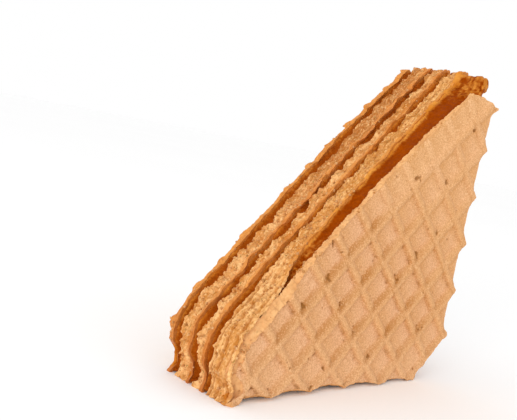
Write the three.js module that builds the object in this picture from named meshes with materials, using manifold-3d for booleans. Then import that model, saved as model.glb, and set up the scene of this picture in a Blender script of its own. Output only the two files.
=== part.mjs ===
// Caramel-filled wafer: five pressed wafer sheets with four layers of caramel between them.
// A square block of it was cut almost from corner to corner, and this is the larger half.
// It stands on its lower edge. Millimetres: X along that edge, Y through the layers from the
// face sheet to the back sheet, Z up. The origin is under the middle of the bounding box.
import * as THREE from "three";
import { mergeVertices } from "three/addons/utils/BufferGeometryUtils.js";
import Module from "manifold-3d";

// The block. X and Z count from a rib crossing below its lower left corner.
const RIB_STEP = 10; // from one rib crossing to the next, along an edge of the block
const LEFT_SIDE = -30;
const RIGHT_SIDE = 31;
const LOWER_EDGE = 0.9;
const BLOCK_HEIGHT = 64.5;
const TOP_CROWN = 1; // the middle layers reach this much higher than the outer ones
const FACE_SHEET_HEIGHT = 59; // its top strip has snapped off near a row of crossings
const FACE_TONGUE = 1.4; // and has left a tongue this high beside the cut,
const TONGUE_REACH = [26, 31]; // which falls away over these X
const SCALLOP_DEPTH = 1.3; // how far an outer sheet's edge draws in between two crossings
const INNER_SCALLOP_DEPTH = 0.7;
const STANDING_SHARE = 0.4; // the lower edge draws in less
const BROKEN_CORNER = 10; // height to which the lower right corner has broken off, at 45 degrees
const BREAK_ROUGHNESS = 0.5;
const BREAK_BUMP = 1.4; // width of one bump of that edge

// The cut, at 45 degrees: how far X - Z lies beyond the block's diagonal
const DIAGONAL = -30;
const CUT_LOW = 9.7;
const CUT_HIGH = 7.5;
const CUT_BEND = 20; // where the cut starts to close on the diagonal, as X + Z
const CUT_SLANT = 1.4; // how much further out it lies at the back sheet
const FACE_OVERHANG = 0.3; // the face sheet stands out this much at the high end of the cut
const CUT_WOBBLE = 0.3;
const CUT_BUMP = 3.8;

// The ribs on the outer faces, a square lattice turned 45 degrees to the block
const RIB_HEIGHT = 0.8;
const RIB_CREST = 0.3; // half widths, as X + Z or X - Z
const RIB_FOOT = 1.4;

// The layers, through the stack
const SHEET_WEB = 0.9; // what is left of an outer sheet between its ribs
const INNER_SHEETS = [3.6, 2.3, 3.2];
const CARAMEL_THIN = 0.9; // the first caramel layer, at the low end of the cut
const CARAMEL_THICK = 6.5; // and at its high end
const CARAMEL_SWELL = 1.4; // how late it thickens
const INNER_CARAMEL = [1.0, 1.9, 2.0];
const GAP = 0.3;
const FACE_HOLLOW = 1.35; // the face is hollow along the cut: it comes forward this much
const HOLLOW_REACH = 50; // at this distance from the middle of the hollow, as X + Z
const HOLLOW_MIDDLE = 50;
const LAYER_WAVE = 0.2; // height of the joints' waves
const WAVE_ACROSS = 17; // the waves' lengths, over 2 pi
const WAVE_ALONG = 13;
const PHASE_ACROSS = 2.1; // how far each joint's waves are out of step with the one before
const PHASE_ALONG = 1.3;
const CARAMEL_RECESS = 0.6; // the filling stops this far inside the edges of the sheets
const SIDE_RECESS = 2.5; // the layers behind the face sheet are this much narrower

// Fineness of the faceted outlines
const EDGE_STEP = 2.5;
const CUT_STEP = 4;
const BEYOND = 6; // how far the uncut slabs reach past the block
const FAR = 40; // in front of and behind the whole stack

const wasm = await Module();
wasm.setup();

// A point of the block from its lattice coordinates: u = X + Z climbs with the cut,
// v = X - Z crosses it. The ribs run where u or v is a multiple of RIB_STEP.
const across = (u, v) => (u + v) / 2;
const upward = (u, v) => (u - v) / 2;
const U_LOW = LEFT_SIDE;
const U_HIGH = RIGHT_SIDE + BLOCK_HEIGHT;

function solid(geometry) {
  geometry.deleteAttribute("normal");
  geometry.deleteAttribute("uv");
  const merged = mergeVertices(geometry, 1e-4);
  return new wasm.Manifold(
    new wasm.Mesh({
      numProp: 3,
      vertProperties: merged.attributes.position.array,
      triVerts: new Uint32Array(merged.index.array),
    }),
  );
}

// Lines of a lattice axis from low to high: every crossing, with the given offsets round it.
function latticeLines(low, high, offsets) {
  const lines = [];
  const first = Math.floor((low - BEYOND) / RIB_STEP);
  const last = Math.ceil((high + BEYOND) / RIB_STEP);
  for (let k = first; k <= last; k++) {
    for (const offset of offsets) lines.push(k * RIB_STEP + offset);
  }
  return lines;
}

// A slab over the lattice between two surfaces, each given as Y from u and v.
function slab(offsets, frontAt, backAt) {
  const us = latticeLines(U_LOW, U_HIGH, offsets);
  const vs = latticeLines(DIAGONAL - CUT_LOW - CUT_SLANT, RIGHT_SIDE, offsets);
  const points = [];
  for (const surface of [frontAt, backAt]) {
    for (const u of us) {
      for (const v of vs) points.push(across(u, v), surface(u, v), upward(u, v));
    }
  }
  const back = us.length * vs.length;
  const at = (i, j) => i * vs.length + j;
  const faces = [];
  const quad = (a, b, c, d) => faces.push(a, b, c, a, c, d);
  const depth = (n) => points[3 * n + 1];
  for (let i = 0; i + 1 < us.length; i++) {
    for (let j = 0; j + 1 < vs.length; j++) {
      const [a, b] = [at(i, j), at(i, j + 1)];
      const [c, d] = [at(i + 1, j + 1), at(i + 1, j)];
      const [A, B, C, D] = [a, b, c, d].map((n) => n + back);
      // The diagonal follows the crease where two ribs meet.
      if (Math.abs(depth(a) - depth(c)) > Math.abs(depth(b) - depth(d))) quad(a, b, c, d);
      else quad(b, c, d, a);
      if (Math.abs(depth(A) - depth(C)) > Math.abs(depth(B) - depth(D))) quad(D, C, B, A);
      else quad(C, B, A, D);
    }
  }
  for (let i = 0; i + 1 < us.length; i++) {
    const end = vs.length - 1;
    quad(at(i, 0), at(i + 1, 0), at(i + 1, 0) + back, at(i, 0) + back);
    quad(at(i + 1, end), at(i, end), at(i, end) + back, at(i + 1, end) + back);
  }
  for (let j = 0; j + 1 < vs.length; j++) {
    const end = us.length - 1;
    quad(at(0, j + 1), at(0, j), at(0, j) + back, at(0, j + 1) + back);
    quad(at(end, j), at(end, j + 1), at(end, j + 1) + back, at(end, j) + back);
  }
  const geometry = new THREE.BufferGeometry();
  geometry.setAttribute("position", new THREE.Float32BufferAttribute(points, 3));
  geometry.setIndex(faces);
  return solid(geometry);
}

// Height of the ribs at a point: full over a crest, nothing past the foot.
function ribHeight(u, v) {
  const rise = (w) => {
    const distance = Math.abs(w - RIB_STEP * Math.round(w / RIB_STEP));
    return THREE.MathUtils.clamp((RIB_FOOT - distance) / (RIB_FOOT - RIB_CREST), 0, 1);
  };
  return RIB_HEIGHT * Math.max(rise(u), rise(v));
}

// The web of the face sheet starts here; everything behind it follows its hollow.
function webAt(u) {
  const fromMiddle = (u - HOLLOW_MIDDLE) / HOLLOW_REACH;
  return RIB_HEIGHT - FACE_HOLLOW * fromMiddle * fromMiddle;
}

function firstCaramel(u) {
  const climb = THREE.MathUtils.clamp((u - U_LOW) / (U_HIGH - U_LOW), 0, 1);
  return CARAMEL_THIN + (CARAMEL_THICK - CARAMEL_THIN) * climb ** CARAMEL_SWELL;
}

// Thicknesses from the face to the back, as functions of u.
const thicknesses = [() => SHEET_WEB, firstCaramel];
for (const [n, sheet] of INNER_SHEETS.entries()) {
  thicknesses.push(() => sheet, () => INNER_CARAMEL[n]);
}
thicknesses.push(() => SHEET_WEB);

// Y of the joint in front of layer k. The joints wave a little, each in its own way.
function jointAt(k, u, v) {
  let y = webAt(u);
  for (let n = 0; n < k; n++) y += thicknesses[n](u);
  const outer = k === 0 || k === thicknesses.length;
  const rise = Math.sin(u / WAVE_ACROSS + PHASE_ACROSS * k);
  const wave = LAYER_WAVE * rise * Math.sin(v / WAVE_ALONG + PHASE_ALONG * k);
  return outer ? y : y + wave;
}

// Points from one corner towards the next, without the last, drawn in by depthAt(x, z).
function side(from, to, step, depthAt) {
  const length = Math.hypot(to[0] - from[0], to[1] - from[1]);
  const count = Math.max(1, Math.round(length / step));
  const inward = [-(to[1] - from[1]) / length, (to[0] - from[0]) / length];
  const points = [];
  for (let n = 0; n < count; n++) {
    const x = from[0] + ((to[0] - from[0]) * n) / count;
    const z = from[1] + ((to[1] - from[1]) * n) / count;
    const depth = depthAt(x, z);
    points.push(new THREE.Vector2(x + inward[0] * depth, z + inward[1] * depth));
  }
  return points;
}

const scallop = (w, depth) => depth * Math.abs(Math.sin((Math.PI * w) / RIB_STEP));

// How far the tongue on the face sheet stands over the rest of its top edge, as a drawing in.
function tongue(x) {
  const [start, end] = TONGUE_REACH;
  return -FACE_TONGUE * THREE.MathUtils.clamp((end - x) / (end - start), 0, 1);
}

// v of the cut through layer k, at u
function cutAt(k, u) {
  const bend = Math.max(0, (u - CUT_BEND) / (U_HIGH - CUT_BEND));
  const closing = CUT_LOW - CUT_HIGH - (k === 0 ? FACE_OVERHANG : 0);
  const slant = (CUT_SLANT * k) / (thicknesses.length - 1);
  return DIAGONAL - CUT_LOW - slant + closing * bend;
}

// u where that cut meets height z
function cutTop(k, z) {
  let u = U_HIGH;
  for (let pass = 0; pass < 20; pass++) u = 2 * z + cutAt(k, u);
  return u;
}

// Outline of layer k in X and Z, anticlockwise seen from the face.
function outline(k) {
  const caramel = k % 2 === 1;
  const recess = caramel ? CARAMEL_RECESS : 0;
  const left = LEFT_SIDE + recess;
  const right = RIGHT_SIDE - recess - (k === 0 ? 0 : SIDE_RECESS);
  const crown = TOP_CROWN * Math.sin((Math.PI * k) / (thicknesses.length - 1));
  const top = (k === 0 ? FACE_SHEET_HEIGHT : BLOCK_HEIGHT + crown) - recess;
  const cutPoint = (u) => [across(u, cutAt(k, u) + recess), upward(u, cutAt(k, u) + recess)];
  const bottom = LOWER_EDGE + recess;
  const corner = cutPoint(cutTop(k, k === 0 ? top + FACE_TONGUE : top));
  const foot = cutPoint(2 * left - cutAt(k, U_LOW));
  const lowRight = [right - BROKEN_CORNER + bottom, bottom];
  const outer = k === 0 || k === thicknesses.length - 1;
  const depth = outer ? SCALLOP_DEPTH : INNER_SCALLOP_DEPTH;
  const along = (x) => scallop(x, STANDING_SHARE * depth);
  const over = (x) => (k === 0 ? tongue(x) : scallop(x, depth));
  const beside = (x, z) => scallop(z, depth);
  const broken = (x) => BREAK_ROUGHNESS * Math.sin(x / BREAK_BUMP + PHASE_ACROSS * k) ** 2;
  const ragged = (x) => CUT_WOBBLE * Math.sin((Math.PI * x) / CUT_BUMP + PHASE_ACROSS * k);
  return [
    ...side([left, bottom], lowRight, EDGE_STEP, along),
    ...side(lowRight, [right, BROKEN_CORNER], EDGE_STEP, broken),
    ...side([right, BROKEN_CORNER], [right, top], EDGE_STEP, beside),
    ...side([right, top], [corner[0], top], EDGE_STEP, over),
    ...side(corner, foot, CUT_STEP, ragged),
    ...side(foot, [left, bottom], EDGE_STEP, beside),
  ];
}

// The outline as a prism through the whole stack.
function prism(points) {
  const reach = 2 * FAR;
  const geometry = new THREE.ExtrudeGeometry(new THREE.Shape(points), {
    depth: 2 * reach,
    bevelEnabled: false,
  });
  geometry.rotateX(Math.PI / 2);
  geometry.translate(0, reach, 0);
  return solid(geometry);
}

// Layer k: between its two joints, less half the gap on each, inside its outline.
// The two outer sheets carry ribs on their free faces.
function layer(k) {
  const last = thicknesses.length - 1;
  const front = k === 0 ? () => -FAR : (u, v) => jointAt(k, u, v) + GAP / 2;
  const back = k === last ? () => FAR : (u, v) => jointAt(k + 1, u, v) - GAP / 2;
  let body = prism(outline(k)).intersect(slab([0], front, back));
  const ribs = [-RIB_FOOT, -RIB_CREST, RIB_CREST, RIB_FOOT];
  if (k === 0) {
    const face = (u, v) => jointAt(0, u, v) - ribHeight(u, v);
    body = body.intersect(slab(ribs, face, () => 2 * FAR));
  }
  if (k === last) {
    const face = (u, v) => jointAt(k + 1, u, v) + ribHeight(u, v);
    body = body.intersect(slab(ribs, () => -2 * FAR, face));
  }
  return body;
}

const wafer = new THREE.MeshStandardMaterial({ color: "#e3ae77", roughness: 0.85, metalness: 0 });
const caramel = new THREE.MeshStandardMaterial({ color: "#b2560f", roughness: 0.3, metalness: 0 });

function meshOf(body, name, material) {
  const { vertProperties, triVerts } = body.getMesh();
  const geometry = new THREE.BufferGeometry();
  geometry.setAttribute("position", new THREE.BufferAttribute(vertProperties, 3));
  geometry.setIndex(new THREE.BufferAttribute(triVerts, 1));
  geometry.computeVertexNormals();
  const mesh = new THREE.Mesh(geometry, material);
  mesh.name = name;
  return mesh;
}

const stack = new THREE.Group();
for (let k = 0; k < thicknesses.length; k++) {
  const number = Math.floor(k / 2) + 1;
  const filling = k % 2 === 1;
  const name = filling ? `caramel_${number}` : `wafer_sheet_${number}`;
  stack.add(meshOf(layer(k), name, filling ? caramel : wafer));
}

// The origin goes under the middle of the box.
const box = new THREE.Box3().setFromObject(stack);
const middle = box.getCenter(new THREE.Vector3());
stack.position.set(-middle.x, -middle.y, -box.min.z);

export default stack;
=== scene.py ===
# A caramel-filled wafer: five pressed wafer sheets with four layers of caramel between them, cut
# almost from corner to corner. The imported model gives the block's place, and its layers are
# hidden in favour of those drawn here; the sections below go through the food as it is put
# together: sheets, caramel, crumbs, then the floor, the light and the camera. In them, u is X + Z
# and v is X - Z in millimetres, along the two families of ribs.
import math

import bpy
import numpy as np
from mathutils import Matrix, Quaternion, Vector, noise
from mathutils.geometry import delaunay_2d_cdt


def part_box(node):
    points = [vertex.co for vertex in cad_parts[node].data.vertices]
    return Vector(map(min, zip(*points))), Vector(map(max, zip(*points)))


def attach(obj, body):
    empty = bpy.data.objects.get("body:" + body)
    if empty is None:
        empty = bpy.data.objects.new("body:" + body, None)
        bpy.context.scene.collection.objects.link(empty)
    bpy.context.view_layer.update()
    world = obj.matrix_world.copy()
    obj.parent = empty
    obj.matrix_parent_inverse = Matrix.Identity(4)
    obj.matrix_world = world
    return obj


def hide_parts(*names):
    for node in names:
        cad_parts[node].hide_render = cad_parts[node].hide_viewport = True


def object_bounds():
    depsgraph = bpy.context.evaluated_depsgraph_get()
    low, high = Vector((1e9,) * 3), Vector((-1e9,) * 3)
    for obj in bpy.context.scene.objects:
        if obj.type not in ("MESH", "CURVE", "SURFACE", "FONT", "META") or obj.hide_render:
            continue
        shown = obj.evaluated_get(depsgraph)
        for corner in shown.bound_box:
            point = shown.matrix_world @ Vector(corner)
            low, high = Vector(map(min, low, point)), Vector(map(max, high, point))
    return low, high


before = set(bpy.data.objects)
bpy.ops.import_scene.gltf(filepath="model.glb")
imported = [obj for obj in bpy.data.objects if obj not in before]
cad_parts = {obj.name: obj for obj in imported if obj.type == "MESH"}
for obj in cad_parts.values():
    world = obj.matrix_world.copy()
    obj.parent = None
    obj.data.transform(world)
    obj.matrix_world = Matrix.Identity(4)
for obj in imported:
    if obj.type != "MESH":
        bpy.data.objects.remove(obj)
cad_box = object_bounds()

# ------------------------------------------------------------
# Wafer sheets. Five sheets of thin batter baked between engraved plates, which leave a lattice of
# ribs at 45 degrees to the block. The two outer sheets show it in full; the three inner ones only
# where their ribs dent the caramel. The knife has torn their edges open along the cut.
# ------------------------------------------------------------
MM = 0.001

# The block, in millimetres. X and Z count from a rib crossing below its lower edge.
RIB_STEP = 10.0  # from one rib crossing to the next, along an edge of the block
LEFT_SIDE = -30.0
RIGHT_SIDE = 31.0
LOWER_EDGE = 0.9
BLOCK_HEIGHT = 64.5
TOP_CROWN = 1.0
FACE_SHEET_HEIGHT = 59.0
FACE_TONGUE = 1.4  # a tongue is left on its top edge, highest beside the cut
TONGUE_REACH = (26.0, 31.0)  # along which it falls away
SIDE_RECESS = 2.5
BROKEN_CORNER = 10.0
SCALLOP_DEPTH = 1.5
INNER_SCALLOP_DEPTH = 0.8
SCALLOP_NOSE = 0.9  # how soon the edge leaves the point at each crossing
FOOT_BEND = 4.5  # how far the cut and the left side round into each other
CORNER_HOLD = 1.6  # a corner itself isn't drawn in, nor quite what is this near to it
TORN_BLEND = 15  # points of the edge over which a torn side passes into a sound one
TEAR = 0.9  # how roughly an inner sheet is torn
RIM_TEAR = 0.7  # the share of it by which the sheet's outline is bitten
BITE = (4.3, 0.8)  # the bites that a torn edge has lost: their size, and their share of the tear
NICK = (1.1, 0.35)  # and the nicks in it
ALONG_SHARE = 0.4  # how deep the scallops are on the lower edge, beside those of the right one
ASLANT_SHARE = 0.5  # and on the broken corner

# The cut, at 45 degrees: how far X - Z lies beyond the block's diagonal
DIAGONAL = -30.0
CUT_LOW = 9.7
CUT_HIGH = 7.5
CUT_BEND = 20.0
CUT_SLANT = 1.4
FACE_OVERHANG = 0.3  # the face sheet stands out this much at the high end of the cut

# The layers from the face to the back
SHEET_WEB = 0.9
INNER_SHEETS = (3.6, 2.3, 3.2)
CARAMEL_THIN = 0.9
CARAMEL_THICK = 6.5
CARAMEL_SWELL = 1.4
INNER_CARAMEL = (1.0, 1.9, 2.0)
LAYERS = 9
GAP = 0.3
FACE_HOLLOW = 1.35
HOLLOW_REACH = 50.0
HOLLOW_MIDDLE = 50.0
LAYER_WAVE = 0.2
WAVE_ACROSS = 17.0
WAVE_ALONG = 13.0
PHASE_ACROSS = 2.1
PHASE_ALONG = 1.3

# The plates' engraving
RIB_HEIGHT = 0.8
RIB_CREST = 0.3  # half widths, as X + Z or X - Z
RIB_FOOT = 1.5
WORN_SIDES = (-0.2, 1.1)  # so much wider is the left side of ribs across the cut, and along it
INNER_RIB_CREST = 0.2  # worn blunt inside the caramel
INNER_RIB_FOOT = 2.8
INNER_RIB_OFFSET = 5.0  # the inner sheets' ribs along the cut lie to either side of it
RIB_FULLNESS = 1.7  # of the flanks: 1 would be straight
RIB_JOIN = 0.15  # how softly two ribs run into each other
WAVER = (6.0, 0.7)  # no rib is quite straight: the size of its bends, and how far they go
SHAKE = (1.1, 0.6)  # and of its small shakes
PIT_INSET = 0.19  # from the middle of a rib to that of a corner pit, as a share of the step
PIT_DEPTH = 0.32
SKIN_GRAIN = (1.2, 0.2)  # size and depth of the skin's unevenness

# Where things change along the block, as u, from the first value to the second
LOW_END = (14.0, -6.0)
UPPER_FACE = (25.0, 55.0)
FADED_FACE = (20.0, 55.0)
# along which painted shade darkens the torn sheets
HIGH_END_SHADE = (0.0, 60.0)
YELLOWING = (0.0, 40.0)
STREAKS = (20.0, 65.0)
SMEARS = (-10.0, 75.0)

# Fineness of the meshes
GRID_LINES = 28  # lines of mesh from one rib to the next
WALL_STEP = 0.15  # along the cut and through the layers
EDGE_STEP = 0.3  # along the other edges
FINE_BAND = 2.2  # hidden faces are fine only this far in from their rim
COARSE = 4  # and further in only every fourth line is kept
KNIFE_REACH = 1.1  # nothing further in than this is moved by the knife
EVERYWHERE = 1000.0  # further in than any point lies
SHARP_EDGE = 50.0  # degrees between faces, above which an edge isn't shaded round
NEAR_RIM = 0.6  # no line of mesh meets another nearer to the rim than this share of its steps
MARGIN = 20  # lines of mesh laid out beyond the block, before those outside are dropped
PARTS = 40  # the nearest rim is looked up in this many goes, to fit the memory
RELIEF = 0.25  # depth of the fine bump of a material

U_LOW = LEFT_SIDE
U_HIGH = RIGHT_SIDE + BLOCK_HEIGHT


def linear(code):
    """A colour written as #rrggbb, as the linear values that shaders take."""
    channels = [int(code[i : i + 2], 16) / 255 for i in (1, 3, 5)]
    return [c / 12.92 if c < 0.04045 else ((c + 0.055) / 1.055) ** 2.4 for c in channels] + [1.0]


def first_caramel(u):
    """How thick the wedge of caramel is."""
    climb = np.clip((u - U_LOW) / (U_HIGH - U_LOW), 0, 1)
    return CARAMEL_THIN + (CARAMEL_THICK - CARAMEL_THIN) * climb**CARAMEL_SWELL


def joint(k, u, v):
    """Y of the joint in front of layer k, before the ribs."""
    y = RIB_HEIGHT - FACE_HOLLOW * ((u - HOLLOW_MIDDLE) / HOLLOW_REACH) ** 2
    for n in range(k):
        if n in (0, LAYERS - 1):
            y = y + SHEET_WEB
        elif n == 1:
            y = y + first_caramel(u)
        elif n % 2 == 0:
            y = y + INNER_SHEETS[n // 2 - 1]
        else:
            y = y + INNER_CARAMEL[n // 2 - 1]
    if k in (0, LAYERS):
        return y
    rise = np.sin(u / WAVE_ACROSS + PHASE_ACROSS * k)
    return y + LAYER_WAVE * rise * np.sin(v / WAVE_ALONG + PHASE_ALONG * k)


def scallop(w, depth):
    """How far a sheet's edge draws in between two rib crossings."""
    distance = abs(w - RIB_STEP * round(w / RIB_STEP))
    return depth * (1 - math.exp(-distance / SCALLOP_NOSE))


def cut_line(k, u):
    """X - Z of the cut through layer k."""
    bend = max(0.0, (u - CUT_BEND) / (U_HIGH - CUT_BEND))
    closing = CUT_LOW - CUT_HIGH - (FACE_OVERHANG if k == 0 else 0)
    return DIAGONAL - CUT_LOW - CUT_SLANT * k / (LAYERS - 1) + closing * bend


def rough(point, size, seed):
    """Noise from -1 to 1 about 0, in the plane of the block."""
    return noise.noise(Vector((point.x / size, point.y / size, seed)))


def straight(start, end, step):
    """Points from one corner towards the next, without the last."""
    count = max(1, round((end - start).length / step))
    return [start.lerp(end, n / count) for n in range(count)]


def rounded(start, corner, end, step):
    """Points on a bend from start to end that heads for corner, without the last."""
    count = max(1, round(((corner - start).length + (end - corner).length) * 0.8 / step))
    return [
        start.lerp(corner, n / count).lerp(corner.lerp(end, n / count), n / count)
        for n in range(count)
    ]


def outline(k, recess, tear, nose_radius, short):
    """The edge of layer k in X and Z, anticlockwise seen from the face, with how torn each point
    is. tear is the size of the bites that the edge has lost, nose_radius rounds the upper corner
    away from the cut, and short is how much further in than the sheets that side lies."""
    left = LEFT_SIDE + recess
    right = RIGHT_SIDE - recess - (0 if k == 0 else SIDE_RECESS) - short
    crown = TOP_CROWN * math.sin(math.pi * k / (LAYERS - 1))
    top = (FACE_SHEET_HEIGHT if k == 0 else BLOCK_HEIGHT + crown) - recess
    bottom = LOWER_EDGE + recess
    depth = SCALLOP_DEPTH if k in (0, LAYERS - 1) else INNER_SCALLOP_DEPTH

    def on_cut(u):
        v = cut_line(k, u) + recess
        return Vector(((u + v) / 2, (u - v) / 2))

    def crossing(start, distance):
        """u where the cut meets an edge: the cut's v changes slowly, so a few steps find it."""
        u = start
        for _ in range(20):
            u = distance(cut_line(k, u) + recess)
        return u

    u_foot = crossing(U_LOW, lambda v: 2 * left - v)
    foot = on_cut(u_foot)
    bend_start = on_cut(u_foot + FOOT_BEND * math.sqrt(2))
    bend_end = foot - Vector((0, FOOT_BEND))
    low_left, low_right = Vector((left, bottom)), Vector((right - BROKEN_CORNER + bottom, bottom))
    step_right, nose = Vector((right, BROKEN_CORNER)), Vector((right, top))
    head = on_cut(crossing(U_HIGH, lambda v: 2 * top + v))
    over_nose = nose - Vector((nose_radius, 0))
    if over_nose.x < head.x:  # the cut leaves by the side, not by the top
        u_nose = crossing(U_HIGH, lambda v: 2 * right - v)
        nose = on_cut(u_nose)
        head = over_nose = on_cut(u_nose - nose_radius * math.sqrt(2))
    under_nose = nose - Vector((0, nose_radius))

    def along(point):
        return scallop(point.x, ALONG_SHARE * depth)

    def aslant(point):
        return scallop((point.x + point.y) / math.sqrt(2), ASLANT_SHARE * depth)

    def beside(point):
        return scallop(point.y, depth)

    def over(point):
        if k > 0:
            return scallop(point.x, depth)
        start, end = TONGUE_REACH
        return -FACE_TONGUE * min(1, max(0, (end - point.x) / (end - start)))

    def plain(point):
        return 0.0

    sides = [
        (straight(low_left, low_right, EDGE_STEP), along, 0.35),
        (straight(low_right, step_right, EDGE_STEP), aslant, 0.5),
        (straight(step_right, under_nose, EDGE_STEP), beside, 0.35),
        (rounded(under_nose, nose, over_nose, EDGE_STEP), plain, 0.6),
        ([] if over_nose == head else straight(over_nose, head, EDGE_STEP), over, 0.9),
        (straight(head, bend_start, WALL_STEP), plain, 1.0),
        (rounded(bend_start, foot, bend_end, WALL_STEP), plain, 1.0),
        (straight(bend_end, low_left, WALL_STEP), beside, 1.0),
    ]
    points, torn = [], []
    for run, drawn_in, share in sides:
        for n, point in enumerate(run):
            ahead = run[n + 1] - point if n + 1 < len(run) else point - run[n - 1]
            inward = Vector((-ahead.y, ahead.x)).normalized()
            bite = BITE[1] * rough(point, BITE[0], 5.7 * k)
            nick = NICK[1] * rough(point, NICK[0], 5.7 * k + 40)
            hold = min(1, min(n, len(run) - n) * ahead.length / CORNER_HOLD)
            loss = drawn_in(point) + share * tear * (bite + nick)
            points.append(point + inward * loss * hold)
            torn.append(share)
    blend = np.ones(TORN_BLEND) / TORN_BLEND
    torn = np.convolve(np.concatenate([torn[-TORN_BLEND:], torn, torn[:TORN_BLEND]]), blend, "same")
    return np.array([p[:] for p in points]), torn[TORN_BLEND:-TORN_BLEND]


def within(rim, x, z):
    """Which of the points lie inside a closed outline."""
    inside = np.zeros(len(x), bool)
    for (x0, z0), (x1, z1) in zip(rim, np.roll(rim, -1, 0)):
        if z0 == z1:
            continue
        crosses = (z0 > z) != (z1 > z)
        inside ^= crosses & (x < x0 + (z - z0) * (x1 - x0) / (z1 - z0))
    return inside


def put_in_scene(name, data):
    made = bpy.data.objects.new(name, data)
    bpy.context.scene.collection.objects.link(made)
    return made


def blank(
    name,
    k,
    recess=0.0,
    tear=0.35,
    ease=GAP / 2,
    nose=0.4,
    short=0.0,
    fine_front=False,
    fine_back=False,
):
    """Layer k before the plates or the knife have marked it: a closed slab between its two joints.
    Its points know how thick the layer is, how far through it and how far in from the rim they
    are, which way the rim faces, how torn it is there, and whether the outer skin is off."""
    rim, torn = outline(k, recess, tear, nose, short)
    after, before = np.roll(rim, -1, 0), np.roll(rim, 1, 0)
    run = after - before
    facing = np.stack([run[:, 1], -run[:, 0]], 1)
    facing /= np.linalg.norm(facing, axis=1)[:, None]

    # lines of mesh that keep step with the ribs
    line = RIB_STEP / GRID_LINES
    spans = ((U_LOW, U_HIGH), (DIAGONAL - CUT_LOW, RIGHT_SIDE))
    counts = [
        np.arange(math.floor(low / line) - MARGIN, math.ceil(high / line) + MARGIN)
        for low, high in spans
    ]
    iu, iv = (a.ravel() for a in np.meshgrid(*counts, indexing="ij"))
    x = (iu + iv) * line / 2
    z = (iu - iv) * line / 2
    inside = within(rim, x, z)
    x, z, iu, iv = x[inside], z[inside], iu[inside], iv[inside]
    nearest = np.empty(len(x), int)
    reach = np.empty(len(x))
    for part in np.array_split(np.arange(len(x)), PARTS):
        gap = (x[part, None] - rim[None, :, 0]) ** 2 + (z[part, None] - rim[None, :, 1]) ** 2
        nearest[part] = gap.argmin(1)
        reach[part] = np.sqrt(gap.min(1))
    clear = reach > EDGE_STEP * NEAR_RIM
    coarse_line = (iu % COARSE == 0) & (iv % COARSE == 0)

    n = len(rim)
    u, v = rim[:, 0] + rim[:, 1], rim[:, 0] - rim[:, 1]
    thickness = float(np.median(joint(k + 1, u, v) - joint(k, u, v)))
    rows = max(3, round(thickness / WALL_STEP))
    columns = {"x": [], "z": [], "through": [], "rim": [], "near": []}

    def put(xs, zs, through, depth, near):
        for key, value in zip(columns, (xs, zs, through, depth, near)):
            columns[key].append(np.broadcast_to(value, np.shape(xs)))

    for row in range(rows + 1):
        put(rim[:, 0], rim[:, 1], row / rows, 0.0, np.arange(n))
    faces = []
    for row in range(rows):
        for i in range(n):
            j = (i + 1) % n
            faces.append((row * n + i, row * n + j, (row + 1) * n + j, (row + 1) * n + i))
    loop_edges = [(i, (i + 1) % n) for i in range(n)]
    count = (rows + 1) * n
    for back, fine in ((False, fine_front), (True, fine_back)):
        keep = clear & (np.ones(len(x), bool) if fine else (reach < FINE_BAND) | coarse_line)
        flat = [Vector(p) for p in rim] + [Vector(p) for p in zip(x[keep], z[keep])]
        made = delaunay_2d_cdt(flat, loop_edges, [], 1, 1e-6, True)
        origin = np.array([source[0] for source in made[3]])
        corners = origin[np.array(made[2])]
        at = np.array([p[:] for p in flat])[corners]
        centre = at.mean(1)
        on_rim = (corners < n).all(1)  # across a hollow in the rim, such a face is none of it
        corners = corners[~on_rim | within(rim, centre[:, 0], centre[:, 1])]
        corners = np.where(corners < n, corners + (rows * n if back else 0), corners + count - n)
        faces.extend((corners[:, ::-1] if back else corners).tolist())
        put(x[keep], z[keep], float(back), reach[keep], nearest[keep])
        count += int(keep.sum())

    data = {key: np.concatenate(value) for key, value in columns.items()}
    near = data["near"].astype(int)
    u, v = data["x"] + data["z"], data["x"] - data["z"]
    front = joint(k, u, v) + (0 if k == 0 else ease)
    back = joint(k + 1, u, v) - (0 if k == LAYERS - 1 else ease)
    y = front + data["through"] * (back - front)
    co = np.stack([data["x"], y, data["z"]], 1)
    mesh = bpy.data.meshes.new(name)
    mesh.from_pydata(((co + place) * MM).tolist(), [], faces)
    skinned = {0: data["through"], LAYERS - 1: 1 - data["through"]}.get(k, np.ones(len(co)))
    marks = {
        "through": data["through"],
        "thickness": back - front,
        "rim": data["rim"],
        "torn": torn[near],
        "opened": np.maximum(skinned, data["rim"] == 0),
        "outward": np.stack([facing[near, 0], np.zeros(len(near)), facing[near, 1]], 1),
    }
    for key, value in marks.items():
        kind, slot = ("FLOAT_VECTOR", "vector") if value.ndim == 2 else ("FLOAT", "value")
        kept = mesh.attributes.new(key, kind, "POINT")
        kept.data.foreach_set(slot, value.astype(np.float32).ravel())
    mesh.shade_smooth()
    return put_in_scene(name, mesh)


def arithmetic(operation, swapped=False):
    """A method that adds the math node of an operation."""

    def method(self, *others):
        values = (self, *others)
        return self.wires.math(operation, *(values[::-1] if swapped else values))

    return method


class Wire:
    """What a node puts out. Arithmetic on it adds the nodes that work the result out."""

    def __init__(self, wires, socket):
        self.wires = wires
        self.socket = socket

    __add__, __radd__ = arithmetic("ADD"), arithmetic("ADD", True)
    __sub__, __rsub__ = arithmetic("SUBTRACT"), arithmetic("SUBTRACT", True)
    __mul__, __rmul__ = arithmetic("MULTIPLY"), arithmetic("MULTIPLY", True)
    __truediv__, __rtruediv__ = arithmetic("DIVIDE"), arithmetic("DIVIDE", True)
    __lt__, __gt__ = arithmetic("LESS_THAN"), arithmetic("GREATER_THAN")
    __pow__, __abs__, __round__ = arithmetic("POWER"), arithmetic("ABSOLUTE"), arithmetic("ROUND")
    floor, fraction, root = arithmetic("FLOOR"), arithmetic("FRACT"), arithmetic("SQRT")


def larger(a, b):
    return a.wires.math("MAXIMUM", a, b)


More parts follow.
